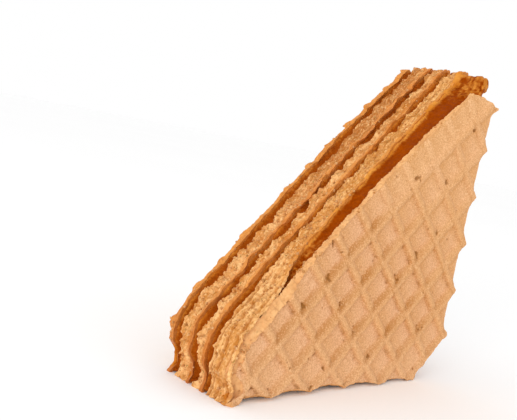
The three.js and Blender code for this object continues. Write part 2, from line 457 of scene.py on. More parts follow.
def smaller(a, b):
    return a.wires.math("MINIMUM", a, b)


class Wiring:
    """Adds nodes to a tree. An input given as a wire is linked, anything else is its value."""

    def __init__(self, tree):
        self.tree = tree

    def node(self, kind, inputs=None, **settings):
        made = self.tree.nodes.new(kind)
        row, column = divmod(len(self.tree.nodes), 14)  # laid out in rows, to be read by eye
        made.location = (190 * column, -260 * row)
        for name, value in settings.items():
            setattr(made, name, value)
        for slot_name, value in (inputs or {}).items():
            if isinstance(value, Wire):
                self.tree.links.new(value.socket, made.inputs[slot_name])
            else:
                made.inputs[slot_name].default_value = value
        return made

    def get(self, kind, inputs=None, output=0, **settings):
        """What a new node puts out."""
        return Wire(self, self.node(kind, inputs, **settings).outputs[output])

    def given(self):
        """The inputs of the whole tree, by name."""
        return {s.name: Wire(self, s) for s in self.tree.nodes.new("NodeGroupInput").outputs}

    def math(self, operation, *values):
        return self.get("ShaderNodeMath", dict(enumerate(values)), operation=operation)

    def vector(self, operation, a, b):
        second = "Scale" if operation == "SCALE" else 1
        return self.get("ShaderNodeVectorMath", {0: a, second: b}, operation=operation)

    def split(self, vector):
        """X, Y and Z of a vector."""
        made = self.node("ShaderNodeSeparateXYZ", {0: vector})
        return [Wire(self, socket) for socket in made.outputs]

    def ramp(self, value, low, high, start=0.0, end=1.0):
        """Smooth step of value from low..high to start..end."""
        inputs = {"Value": value, "From Min": low, "From Max": high, "To Min": start, "To Max": end}
        return self.get("ShaderNodeMapRange", inputs, interpolation_type="SMOOTHSTEP")

    def noise(self, vector, size, seed=0.0, detail=2.0, roughness=0.5):
        """Noise of a grain size given in the units of vector, from 0 to 1 about 0.5."""
        inputs = {"Vector": vector, "W": seed, "Scale": 1 / size}
        inputs |= {"Detail": detail, "Roughness": roughness}
        return self.get("ShaderNodeTexNoise", inputs, noise_dimensions="4D")

    def cells(self, vector, size, seed=None):
        """Cells of about this size: how far off the middle of the nearest one is, as a share of
        the size, and a random share that each cell has of its own."""
        inputs = {"Vector": vector, "Scale": 1 / size} | ({} if seed is None else {"W": seed})
        dimensions = "3D" if seed is None else "4D"
        made = self.node("ShaderNodeTexVoronoi", inputs, voronoi_dimensions=dimensions)
        chance = self.split(Wire(self, made.outputs["Color"]))[0]
        return Wire(self, made.outputs["Distance"]), chance

    def mark(self, name):
        """A value that the trees left on the mesh, in a material."""
        return self.get("ShaderNodeAttribute", output="Fac", attribute_name=name)

    def mix(self, factor, a, b):
        """Colour a where factor is 0 and b where it is 1. Either can be written as #rrggbb."""
        a, b = (linear(colour) if isinstance(colour, str) else colour for colour in (a, b))
        return self.get("ShaderNodeMix", {0: factor, 6: a, 7: b}, 2, data_type="RGBA")

    def coats(self, colour, *coats):
        """Lays colours over a colour in turn, each with the share of it that shows."""
        for share, code in coats:
            colour = self.mix(share, colour, code)
        return colour


def new_tree(name, kind, data, inputs, outputs):
    """A node tree that takes its data and the given numbers, each with its default, and gives
    outputs of the given kinds."""
    tree = bpy.data.node_groups.new(name, kind)
    tree.interface.new_socket(data, in_out="INPUT", socket_type="NodeSocket" + data)
    for label, value in inputs.items():
        made = tree.interface.new_socket(label, in_out="INPUT", socket_type="NodeSocketFloat")
        made.default_value = value
    for label, socket_kind in outputs.items():
        tree.interface.new_socket(label, in_out="OUTPUT", socket_type="NodeSocket" + socket_kind)
    return tree


def geometry_tree(name, inputs):
    """A Geometry Nodes tree with a geometry in and out and the given number inputs."""
    tree = new_tree(name, "GeometryNodeTree", "Geometry", inputs, {"Geometry": "Geometry"})
    tree.interface.new_socket("Material", in_out="INPUT", socket_type="NodeSocketMaterial")
    wires = Wiring(tree)
    return wires, wires.given()


def close_tree(wires, geometry, material):
    """The end that every tree here has: nothing below the ground, real geometry, its material."""
    x, y, z = wires.split(wires.get("GeometryNodeInputPosition"))
    stood = wires.get("ShaderNodeCombineXYZ", {0: x, 1: y, 2: larger(z, 0.0)})
    real = wires.get("GeometryNodeRealizeInstances", {"Geometry": geometry})
    real = wires.get("GeometryNodeSetPosition", {"Geometry": real, "Position": stood})
    painted = wires.get("GeometryNodeSetMaterial", {"Geometry": real, "Material": material})
    wires.node("NodeGroupOutput", {"Geometry": painted})


def run_tree(piece, tree, **values):
    """Runs a tree on a piece with the given inputs and leaves the result as its plain mesh."""
    modifier = piece.modifiers.new(tree.name, "NODES")
    modifier.node_group = tree
    for item in tree.interface.items_tree:
        if item.in_out == "INPUT" and item.name in values:
            modifier[item.identifier] = values[item.name]
    graph = bpy.context.evaluated_depsgraph_get()
    made = bpy.data.meshes.new_from_object(
        piece.evaluated_get(graph), preserve_all_data_layers=True, depsgraph=graph
    )
    piece.modifiers.remove(modifier)
    old = piece.data
    piece.data = made
    made.set_sharp_from_angle(angle=math.radians(SHARP_EDGE))
    bpy.data.meshes.remove(old)
    made.name = piece.name
    return piece


def millimetres(wires, vector):
    return wires.vector("SCALE", vector, 1 / MM)


def named(wires, name, kind="FLOAT"):
    return wires.get("GeometryNodeInputNamedAttribute", {"Name": name}, data_type=kind)


def stored(wires, geometry, marks):
    """The geometry with the given values kept on its points."""
    for name, value in marks.items():
        inputs = {"Geometry": geometry, "Name": name, "Value": value}
        geometry = wires.get("GeometryNodeStoreNamedAttribute", inputs)
    return geometry


def pushed(wires, geometry, push, depth):
    """The geometry with its points moved out of the rim by push and backwards by depth."""
    outward = wires.vector("SCALE", named(wires, "outward", "FLOAT_VECTOR"), push)
    moved = wires.vector("ADD", outward, wires.get("ShaderNodeCombineXYZ", {1: depth}))
    moved = wires.vector("SCALE", moved, MM)
    return wires.get("GeometryNodeSetPosition", {"Geometry": geometry, "Offset": moved})


def plate_tree():
    """Presses the ribs into a sheet, pits it, and tears its rim."""
    wires, given = geometry_tree(
        "Plates and knife",
        {
            "Crest": INNER_RIB_CREST, "Foot": INNER_RIB_FOOT, "Worn Across": 0.0,
            "Worn Along": 0.0, "Offset": INNER_RIB_OFFSET, "Front Ribs": 0.0, "Back Ribs": 0.0,
            "Rib Reach": FINE_BAND, "Faded Strip": 0.0, "Unevenness": 0.85, "Browned": 0.0,
            "Yellowed": 0.0, "Paled": 0.0, "Strands": 0.0, "Pits": 0.0, "Tear": TEAR, "Bevel": 0.0,
            "Smear Front": 0.0, "Smear Back": 0.0, "Smear Foot": 0.0, "Ridge": 0.0,
            "Ridge Width": 0.8, "Gilded": 0.0, "Pore Depth": 0.45, "Pore Size": 0.9, "Seed": 0.0,
        },
    )
    ramp = wires.ramp
    here = millimetres(wires, wires.get("GeometryNodeInputPosition"))
    x, _, z = wires.split(here)
    x = x - place[0]
    z = z - place[2]
    seed = given["Seed"]
    through = named(wires, "through")
    front_share = 1.0 - through
    edge = named(wires, "rim")
    torn = named(wires, "torn")

    # two families of ribs, one across the cut (X + Z) and one along it (X - Z), none quite straight
    across = x + z + wires.noise(here, WAVER[0], 3.1) * WAVER[1]
    along = x - z + wires.noise(here, WAVER[0], 4.1) * WAVER[1]
    middle = (WAVER[1] + SHAKE[1]) / 2
    across = across - middle + wires.noise(here, SHAKE[0], 5.1) * SHAKE[1]
    along = along - middle + wires.noise(here, SHAKE[0], 6.1) * SHAKE[1]
    along = along + given["Offset"]
    rises, cells, phases = [], [], []
    for w, worn in ((across, given["Worn Across"]), (along, given["Worn Along"])):
        share = w / RIB_STEP
        off = (share - round(share)) * RIB_STEP
        foot = (off < 0.0) * worn + given["Foot"]
        beyond = larger(abs(off) - given["Crest"], 0.0)
        rises.append(1.0 - smaller(beyond / foot, 1.0) ** RIB_FULLNESS)
        cells.append(share.floor())
        phases.append(share.fraction())
    rib = smaller(wires.math("SMOOTH_MAX", *rises, RIB_JOIN), 1.0)

    # the strip beside the cut, towards its high end, came out of the plates nearly smooth
    from_cut = along - (DIAGONAL - CUT_HIGH)
    upper = ramp(across, *UPPER_FACE)
    strip = ramp(from_cut, 4.5, 10.0, 0.9, 0.0) * upper
    far = ramp(across - from_cut * 0.6, *FADED_FACE, 0.0, 0.5)
    strip = larger(strip, far) * given["Faded Strip"]
    uneven = ramp(wires.noise(here, 7.0, seed + 8.8), 0.32, 0.68, 1.0 - given["Unevenness"], 1.1)
    fade = (1.0 - strip) * uneven
    fade = fade * ramp(edge, given["Rib Reach"], given["Rib Reach"] * 0.6)
    raised = rib * fade
    pressed = given["Back Ribs"] * through * raised - given["Front Ribs"] * front_share * raised

    # pocket floors: painted shade in the lee of each rib and below each step, a painted shade line
    # at the foot of the ribs across the cut, and golden brown on the wide flanks of those along it.
    # A phase goes from 0 on the middle of one rib to 1 on that of the next.
    rib_shadows = [ramp(phase, 0.08, 0.8, 1.0, 0.0) for phase in phases]
    rib_shadows[0] = rib_shadows[0] * ramp(phases[0], 0.0, 0.25, 0.3, 1.0)
    notch_shade = ramp(phases[0], 0.66, 0.74) * ramp(phases[0], 1.0, 0.9)
    step_shade = (notch_shade * 0.4 + ramp(phases[1], 0.3, 0.1)) * upper
    # painted shade on the pocket floors, beside the ribs and below the steps
    lee = ((rib_shadows[0] + rib_shadows[1] * 0.5) * 0.7 + step_shade) * (1.0 - rib)
    # golden brown on the wide flank of each rib along the cut
    golden_flank = ramp(phases[1], 0.69, 0.75) * ramp(phases[1], 1.0, 0.84)
    golden_flank = golden_flank * ramp(phases[0], 0.1, 1.0, 1.0, 0.4) * (1.0 - upper * 0.8)
    # a painted shade line at the foot of each rib across the cut
    foot_shade = ramp(phases[0], 0.8, 0.86) * ramp(phases[0], 0.94, 0.89)
    golden = larger(golden_flank, foot_shade * 0.5) * (fade * 0.8 + 0.2)

    # steam leaves pits in the pockets' corners, most often the lowest
    sides = [round(phase) for phase in phases]
    inset = [(0.5 - abs(phase - 0.5) - PIT_INSET) * RIB_STEP for phase in phases]
    away = (inset[0] ** 2.0 + inset[1] ** 2.0).root()
    halves = [side * 0.5 + cell for side, cell in zip(sides, cells)]
    which = wires.get("ShaderNodeCombineXYZ", {0: halves[0], 1: halves[1], 2: through})
    luck = wires.get("ShaderNodeTexWhiteNoise", {"Vector": which}, noise_dimensions="3D")
    lowest = (1.0 - sides[0]) * sides[1]
    leftmost = 1.0 - larger(sides[0], sides[1])
    luck = luck - leftmost + lowest * 0.3
    ragged = (wires.noise(here, 0.9, 1.7) - 0.5) * 7.0
    radius = ramp(luck, 0.4, 1.1, -1.4, 1.0)
    corner_pit = ramp(away + ragged, radius, radius - 0.9)

    # and loose ones between: holes, pinholes in patches, and cracks along the ribs across the cut,
    # whose dark line is painted shadow
    off_hole, chance = wires.cells(here, 2.6, 4.0)
    hole = ramp(chance, 0.5, 1.0, 0.0, ramp(wires.noise(here, 11.0, 2.5), 0.4, 0.6, 0.1, 0.2))
    loose_pit = ramp(off_hole, hole, hole * 0.4)
    off_pinhole, chance = wires.cells(here, 1.1, 9.0)
    crowd = ramp(wires.noise(here, 9.0, 12.5), 0.45, 0.6, 0.93, 0.6)
    loose_pit = larger(loose_pit, ramp(off_pinhole, 0.3, 0.12) * (chance > crowd))
    before_rib = ramp(phases[0], 0.8, 0.84) * ramp(phases[0], 0.93, 0.88)
    shadow_crack = before_rib * ramp(wires.noise(here, 1.3, 7.7), 0.5, 0.6, 0.0, 0.6)
    shadow_crack = shadow_crack * fade * (1.0 - rises[1])
    # pits and cracks are sunk, and the material paints them dark brown: partly painted shade in
    # them
    pit = larger(larger(corner_pit, loose_pit), shadow_crack) * given["Pits"]
    pit = pit * (1.0 - rises[0] * rises[1])
    sink = (front_share - through) * (pit * PIT_DEPTH)
    rough_skin = (wires.noise(here, SKIN_GRAIN[0], 6.0, 3.0) - 0.5) * SKIN_GRAIN[1]

    # the knife drags caramel over the sheet's front into a smooth ridge
    behind = through * named(wires, "thickness")
    narrow = wires.noise(here, 4.0, seed + 2.0) - 0.5
    width = narrow * 0.8 + given["Ridge Width"]
    low_end = ramp(across, *LOW_END)
    buried = low_end * (given["Smear Foot"] > 0.5)
    ridge = ramp(behind / width, 1.25, 0.75) * ((given["Ridge"] > 0.0) - buried)
    round_top = 1.0 - (behind / width) ** 2.0
    wave = wires.noise(here, 3.0, seed + 4.0, 1.0) - 0.5
    swell = (wave * 2.2 + round_top) * given["Ridge"]

    # and tears the crumb behind it: pores, shreds, flakes and, at the low end, strands
    crumb = 1.0 - ridge
    drawn = wires.vector("MULTIPLY", here, (1.0, 2.2, 1.0))
    shreds = wires.noise(drawn, 1.5, seed, 3.0, 0.65) - 0.5
    flakes = wires.noise(drawn, 4.0, seed + 9.0) - 0.5
    fine = wires.noise(here, 0.5, seed + 3.0) - 0.5
    off_pore, chance = wires.cells(drawn, given["Pore Size"], seed)
    pore_size = ramp(chance, 0.45, 1.0, 0.0, 0.6)
    hollow = ramp(off_pore, pore_size, pore_size * 0.4) * crumb
    streaked = ramp(across, *STREAKS)
    torn_off = shreds * 2.6 + flakes * 1.6 + fine * (1.4 - streaked * 0.7)
    wander = wires.noise(here, 8.0, seed + 20.0) - 0.5
    strand = abs((through * 3.0 + wander).fraction() - 0.5)
    strand = ramp(strand, 0.16, 0.05) * low_end * given["Strands"]
    calmer = 1.0 - low_end * given["Strands"] * 0.5
    torn_off = (torn_off * calmer - strand * 0.6) * given["Tear"] * crumb
    near_rim = ramp(edge, KNIFE_REACH, 0.0) * torn
    push = ridge * (fine * 0.35 + swell) + torn_off - hollow * given["Pore Depth"]

    # it shaves the face sheet's skin off, most of it at the low end
    skin_lost = (low_end * 0.95 + 0.05) * given["Bevel"]
    skin_reach = larger(1.0 - edge * 0.25, 0.0) ** 2.0 * torn
    push = push * near_rim - skin_lost * skin_reach * front_share
    rolled = near_rim * front_share * 0.15 * given["Bevel"]

    # and smears both sides of the crumb over the caramel, mostly towards the high end
    high_end = ramp(across, *SMEARS, 0.65, 1.0)
    spread = []
    for side, label, offset in ((front_share, "Smear Front", 12.0), (through, "Smear Back", 15.0)):
        patchy = ramp(wires.noise(here, 5.0, seed + offset), 0.35, 0.65, 0.1, 1.3)
        reach = patchy * high_end * given[label]
        if label == "Smear Front":
            reach = low_end * given["Smear Foot"] + reach
        spread.append(reach * side**2.0)
    smear = (spread[1] - spread[0]) * near_rim
    jagged = wires.noise(here, 1.4, seed + 6.0, 3.0) - 0.5
    jagged = jagged * crumb * (near_rim * 1.3)
    depth = jagged * given["Tear"] + (rough_skin + (rolled + smear) + sink) + pressed

    at_the_knife = ramp(edge - shreds * 1.6 - 0.2, 0.3, -0.1) * torn
    marks = {
        "strip": strip,
        # painted light: the face skin is lighter towards the low end and lower edge; the ridge
        # darker
        "low_end": larger(ramp(across, 10.0, -20.0, 0.0, 0.6), ramp(z, 14.0, 2.0)),
        "rib": raised,
        "pit": pit,
        "lee": lee,
        "golden": golden,
        # painted shade, darker towards the high end of the cut
        "browned": ramp(across, *HIGH_END_SHADE) * given["Browned"],
        "yellowed": ramp(across, *YELLOWING, 0.2, 1.0) * given["Yellowed"],
        "paled": given["Paled"],
        "strand": strand,
        "streaked": streaked,
        "hollow": hollow,
        "ridge": ridge,
        # painted shade under the front of the caramel ridge
        "undercut": ramp(behind / width, 0.7, 0.0),
        "gilded": given["Gilded"],
        "opened": larger(named(wires, "opened"), at_the_knife**3.0),
    }
    geometry = stored(wires, given["Geometry"], marks)
    close_tree(wires, pushed(wires, geometry, push, depth), given["Material"])
    return wires.tree


def grain_group():
    """Baked batter: fine grain, broad blotches and dark specks, all in millimetres."""
    sizes = {"Grain Size": 0.45, "Blotch Size": 7.0, "Speck Size": 1.1, "Speck Share": 0.2}
    made = {"Grain": "Float", "Blotch": "Float", "Specks": "Float"}
    wires = Wiring(new_tree("Baked grain", "ShaderNodeTree", "Vector", sizes, made))
    given = wires.given()
    here = millimetres(wires, given["Vector"])
    grain = wires.noise(here, given["Grain Size"], 0.0, 3.0, 0.65)
    blotch = wires.ramp(wires.noise(here, given["Blotch Size"], 2.0, 3.0), 0.3, 0.7)
    off_speck, chance = wires.cells(here, given["Speck Size"])
    specks = wires.ramp(off_speck, 0.42, 0.15) * (chance < given["Speck Share"])
    wires.node("NodeGroupOutput", {"Grain": grain, "Blotch": blotch, "Specks": specks})
    return wires.tree


def new_material(name):
    material = bpy.data.materials.new(name)
    material.use_nodes = True
    material.node_tree.nodes.clear()
    wires = Wiring(material.node_tree)
    return material, wires, wires.get("ShaderNodeTexCoord", output="Object")


def grained(wires, where, **values):
    """The marks of baked batter at a place, by name, with sizes of their own."""
    inputs = {label.replace("_", " "): value for label, value in values.items()}
    made = wires.node("ShaderNodeGroup", {"Vector": where} | inputs, node_tree=grain)
    return {socket.name: Wire(wires, socket) for socket in made.outputs}


def shaded(wires, colour, roughness, specular, relief=None, strength=0.0, tint="#ffffff"):
    """The end of a material: its surface, with a fine relief if one is given."""
    inputs = {"Base Color": colour, "Roughness": roughness, "Specular IOR Level": specular}
    inputs["Specular Tint"] = linear(tint)
    if relief is not None:
        bump = {"Height": relief, "Strength": strength, "Distance": RELIEF * MM}
        inputs["Normal"] = wires.get("ShaderNodeBump", bump)
    surface = wires.get("ShaderNodeBsdfPrincipled", inputs)
    wires.node("ShaderNodeOutputMaterial", {"Surface": surface})


def wafer_material():
    """Sandy skin, pinker on the pocket floors, with painted shade beside the ribs and at their
    feet, golden brown on their wide flanks, painted light towards the low end and dark pits that
    are partly painted shade; pale torn crumb with olive specks where it is open, with painted shade
    in its pores and towards the high end; amber where caramel was dragged over it, with painted
    shade under it."""
    material, wires, where = new_material("Baked wafer")
    ramp, mix = wires.ramp, wires.mix
    baked = grained(wires, where, Grain_Size=0.27)
    low_end, streaked, ridge = (wires.mark(name) for name in ("low_end", "streaked", "ridge"))
    skin = wires.coats(
        mix(baked["Blotch"], "#e7b288", "#e3ac80"),
        (wires.mark("strip") * 0.7, "#e8b278"),
        # painted shade on the pocket floors, beside the ribs and below the steps
        (wires.mark("lee"), "#d79e66"),
        (ramp(wires.mark("rib"), 0.1, 0.6, 0.0, 0.8), "#dca46c"),
        # golden brown on the wide rib flanks, and painted shade at the foot of the ribs
        (wires.mark("golden") * 0.95, "#b07032"),
        # lighter towards the low end and the lower edge: painted light
        (low_end * 0.4, "#ecbc8e"),
        (ramp(baked["Grain"], 0.34, 0.56, 0.5, 0.0), "#b0763f"),
        (ramp(baked["Grain"], 0.5, 0.68, 0.0, 0.45), "#f8d0a2"),
        # dark brown pits and cracks: partly painted shade in them, painted shadow along the cracks
        (ramp(wires.mark("pit"), 0.1, 0.9, 0.0, 0.75), "#8c5820"),
    )

    drawn = wires.vector("MULTIPLY", where, (1.0, 2.0, 1.0))
    torn = grained(wires, drawn, Grain_Size=0.8, Blotch_Size=4.5, Speck_Size=1.0, Speck_Share=0.16)
    pulled = wires.vector("MULTIPLY", where, (0.35, 2.6, 0.35))
    streak = wires.noise(millimetres(wires, pulled), 1.0, 3.3)
    crumb = wires.coats(
        mix(torn["Blotch"], "#cc843c", "#f0bc7e"),
        # painted shade on the torn crumb, darker towards the high end
        (wires.mark("browned") * 0.8, "#b97034"),
        (wires.mark("yellowed") * 0.45, "#cf8e40"),
        (ramp(torn["Grain"], 0.32, 0.5, 0.75, 0.0), "#a4621e"),
        (ramp(torn["Grain"], 0.5, 0.66, 0.0, 0.65), "#f8cc90"),
        (torn["Specks"] * 0.65, "#80682c"),
        # pores darker brown: painted shade in the hollows
        (wires.mark("hollow") * 0.65, "#8c5218"),
        (wires.mark("strand") * 0.8, "#bc782c"),
        (ramp(streak, 0.52, 0.38) * (streaked * 0.65), "#ac6624"),
        (ramp(streak, 0.54, 0.66) * (streaked * 0.5), "#f0ba78"),
        (wires.mark("paled") * 0.6, "#e2a972"),
    )
    amber_ridge = wires.coats(
        mix(torn["Blotch"], "#d67e2e", "#f0a250"),
        (wires.mark("gilded") * 0.75, "#e4963a"),
        # painted shade under the front of the ridge
        (wires.mark("undercut") * 0.35, "#bc6418"),
        (ramp(torn["Grain"], 0.35, 0.6, 0.5, 0.0), "#a65c20"),
        (ramp(low_end, 0.3, 0.9, 0.0, 0.8), "#ae5818"),
    )
    crumb = mix(ridge * 0.85, crumb, amber_ridge)
    open_share = ramp(wires.mark("opened"), 0.3, 0.8)
    roughness = 0.85 - ridge * open_share * 0.35
    relief = torn["Grain"] * (open_share * (1.0 - ridge * 0.8)) + baked["Grain"]
    colour = mix(open_share, skin, crumb)
    shaded(wires, colour, roughness, specular=0.12, relief=relief, strength=0.4)
    return material


# the block's place in the model: its left side, the face's most forward crest, and the ground
face_low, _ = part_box("wafer_sheet_1")
most_forward = joint(0, LEFT_SIDE + LOWER_EDGE, 0.0) - RIB_HEIGHT
place = np.array([face_low.x / MM - LEFT_SIDE, face_low.y / MM - most_forward, -LOWER_EDGE])

grain = grain_group()
plates = plate_tree()
baked_wafer = wafer_material()
ENGRAVED = {
    "Crest": RIB_CREST, "Foot": RIB_FOOT, "Worn Across": WORN_SIDES[0],
    "Worn Along": WORN_SIDES[1], "Rib Reach": EVERYWHERE, "Pits": 1.0, "Pore Depth": 0.25,
}
SHEETS = {  # from the face to the back, each with what sets it apart
    "wafer_sheet_1": {
        **ENGRAVED, "Front Ribs": RIB_HEIGHT, "Offset": 0.0, "Faded Strip": 1.0, "Unevenness": 0.4,
        "Paled": 1.0, "Tear": 0.5, "Bevel": 1.6, "Smear Back": 0.3,
    },
    "wafer_sheet_2": {
        "Front Ribs": 0.2, "Back Ribs": 0.4, "Browned": 0.05, "Yellowed": 1.0, "Strands": 1.0,
        "Ridge": 0.3, "Gilded": 1.0, "Smear Front": 0.3, "Smear Back": 0.4, "Smear Foot": 2.2,
    },
    "wafer_sheet_3": {
        "Front Ribs": 0.3, "Back Ribs": 0.8, "Browned": 0.25, "Ridge": 0.4, "Gilded": 0.4,
        "Smear Front": 0.3, "Smear Back": 0.9, "Smear Foot": 0.2,
    },
    "wafer_sheet_4": {
        "Front Ribs": 0.3, "Back Ribs": 0.5, "Browned": 1.0, "Ridge": 0.4, "Gilded": 0.1,
        "Smear Front": 0.8, "Smear Back": 0.9,
    },
    "wafer_sheet_5": {
        **ENGRAVED, "Back Ribs": RIB_HEIGHT, "Browned": 0.1, "Yellowed": 0.7, "Tear": 0.8,
        "Ridge": 0.3, "Ridge Width": 1.2, "Gilded": 1.0, "Smear Front": 0.6,
    },
}
for n, (name, marks) in enumerate(SHEETS.items()):
    k = 2 * n
    bites = RIM_TEAR * marks.get("Tear", TEAR)
    sheet = blank(
        name + "_baked", k, tear=bites, fine_front=k == 0, fine_back=k == LAYERS - 1
    )
    run_tree(sheet, plates, **marks, **{"Seed": 11.0 * k, "Material": baked_wafer})
    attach(sheet, "root")
    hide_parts(name)

# ------------------------------------------------------------
# Caramel. Four layers of soft caramel spread between the sheets; the first is a wedge. Where the
# knife went through, it is drawn back from the sheets' edges and a little wavy, and the wedge is
# shredded at its thin end and at its head.
# ------------------------------------------------------------
CARAMEL_RECESS = 0.3
CARAMEL_TEAR = 0.3
CARAMEL_OVERLAP = -0.4  # it wets the sheets
HEAD_NOSE = 2.4  # the thick layer ends in a rounded head that stands over the cut
HEAD_SHORT = 1.6
HEAD_RISE = 2.8
HEAD_REACH = (85.0, 92.0)  # X + Z along which it rises
SHREDDED_FOOT = (-4.0, 6.0, 28.0)  # X + Z where the knife tore the thick layer, at its low end
SHREDDED_HEAD = (74.0, 86.0)  # and at its head
BURIED_BACK = (12.0, 2.0)  # X + Z where crumb smeared over it hides its back
BURIED_WHOLE = (0.0, -7.0)  # and all of it
SMEARED_THIN = (-4.0, -12.0)  # where the cut has drawn it out to a golden film
MOULDED_REACH = 1.6  # nothing further in from the rim is moved by the knife


def along_cut(wires, here):
    """X + Z of a place, counted as in the block: it grows from the low end to the high end."""
    x, _, z = wires.split(here)
    return x + z - (place[0] + place[2])


def caramel_tree():
    """Sags the cut face of a caramel layer and draws a lip up to the sheet behind it."""
    wires, given = geometry_tree(
        "Cut caramel",
        {
            "Sag": 0.6, "Lip": 0.1, "Lip Width": 1.2, "Lip Share": 1.0, "Buried Foot": 0.0,
            "Golden": 0.5, "Thin": 1.0, "Ripple": 0.6, "Roundness": 0.3, "Head Rise": 0.0,
            "Shreds": 0.0, "Seed": 0.0,
        },
    )
    ramp = wires.ramp
    here = millimetres(wires, wires.get("GeometryNodeInputPosition"))
    across = along_cut(wires, here)
    seed = given["Seed"]
    through = named(wires, "through")
    thickness = named(wires, "thickness")
    uneven = wires.noise(here, 3.0, seed + 2.0) - 0.5
    before_back = (1.0 - through) * thickness + uneven * 0.9
    widest = given["Lip Share"] * thickness
    lip = ramp(before_back, smaller(given["Lip Width"], widest), 0.15)
    buried = ramp(across, *BURIED_BACK) * ramp(through, 0.3, 0.7)
    buried = larger(buried, ramp(across, *BURIED_WHOLE))
    head = ramp(across, *HEAD_REACH) * (given["Head Rise"] > 0.0)
    foot_start, foot_middle, foot_end = SHREDDED_FOOT
    shredded = ramp(across, foot_start, foot_middle) * ramp(across, foot_end, foot_middle)
    shredded = larger(shredded, ramp(across, *SHREDDED_HEAD)) * given["Shreds"]

    waves = wires.noise(here, 4.5, seed, 1.0) - 0.5
    ripples = wires.noise(here, 1.1, seed + 5.0, 2.0) - 0.5
    push = lip * given["Lip"] - (1.0 - lip) * given["Sag"]
    push = ripples * (shredded * 1.4 + given["Ripple"]) + (waves * 0.8 + push)
    near_rim = ramp(named(wires, "rim"), MOULDED_REACH, 0.0)
    rolled = near_rim * (1.0 - through) ** 3.0 * given["Roundness"]
    push = push - (rolled + buried * given["Buried Foot"])
    push = (head * given["Head Rise"] + push) * near_rim

    mottled = ramp(wires.noise(here, 1.0, seed + 8.0, 2.0), 0.35, 0.65, 0.1, 0.7) * shredded
    lip = larger(lip * given["Golden"], mottled)
    marks = {
        "lip": larger(lip, ramp(across, *SMEARED_THIN) * given["Shreds"]),
        # painted shade, darker towards the front of the layer, down in the groove
        "deep": ramp(before_back, 0.15, 0.75) * given["Thin"],
        "sticky": shredded,
        "caramel": 1.0,
        "thin": given["Thin"],
    }
    geometry = stored(wires, given["Geometry"], marks)
    close_tree(wires, pushed(wires, geometry, push, rolled), given["Material"])
    return wires.tree


def caramel_material():
    """Deep amber, lighter and more golden where it is drawn out thin, with painted shade
    towards the front of each layer, down in its groove.
    """
    material, wires, where = new_material("Caramel")
    ramp, mix = wires.ramp, wires.mix
    marks = grained(wires, where, Grain_Size=0.6, Blotch_Size=3.0)
    lip = marks["Grain"] - 0.5 + wires.mark("lip")
    colour = wires.coats(
        mix(marks["Blotch"], "#8c3800", "#9a4200"),
        (wires.mark("thin") * 0.8, mix(marks["Blotch"], "#b66014", "#c47214")),
        # painted shade towards the front of each layer, down in its groove
        (wires.mark("deep") * 0.9, "#984408"),
        (ramp(marks["Grain"], 0.3, 0.55, 0.5, 0.0), "#742c00"),
        (ramp(marks["Grain"], 0.55, 0.75, 0.0, 0.3), "#bf6410"),
        (ramp(lip, 0.15, 0.9), mix(marks["Blotch"], "#c87824", "#dc9440")),
    )
    roughness = ramp(marks["Grain"], 0.3, 0.7, 0.45, 0.65)
    relief = {"relief": marks["Grain"], "strength": 0.5}
    shaded(wires, colour, roughness, specular=0.04, tint="#ffc070", **relief)
    return material


knife_pull = caramel_tree()
amber = caramel_material()
CARAMELS = {
    "caramel_1": {
        "Sag": 0.2, "Lip": 0.4, "Lip Width": 1.9, "Lip Share": 0.3, "Buried Foot": 0.6,
        "Golden": 1.0, "Thin": 0.0, "Roundness": 0.6, "Head Rise": HEAD_RISE, "Shreds": 1.0,
    },
    "caramel_2": {},
    "caramel_3": {},
    "caramel_4": {},
}
for n, (name, marks) in enumerate(CARAMELS.items(), 1):
    head = {"nose": HEAD_NOSE, "short": HEAD_SHORT} if n == 1 else {}
    layer = blank(
        name + "_spread", 2 * n - 1, CARAMEL_RECESS, CARAMEL_TEAR, CARAMEL_OVERLAP, **head
    )
    run_tree(layer, knife_pull, **marks, **{"Seed": 7.0 * n, "Material": amber})
    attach(layer, "root")
    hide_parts(name)

# ------------------------------------------------------------
# Crumbs: grains of wafer that the knife broke off and left sticking to the cut, on the torn
# sheets and in the shredded foot of the thick caramel, most of them towards the low end.
# ------------------------------------------------------------
CRUMBS_PER_MM2 = 0.9
CRUMB_RADIUS = 0.22
CRUMB_SPREAD = (0.45, 1.5)  # smallest and largest, as shares of that
CRUMB_SEED = 5
CRUMB_DRIFT = (-25.0, 75.0)  # X + Z along which they get fewer
LUMP_SIZE = 0.25
CUT_SIDES = 0.95  # sides that are at least this torn are the cut's


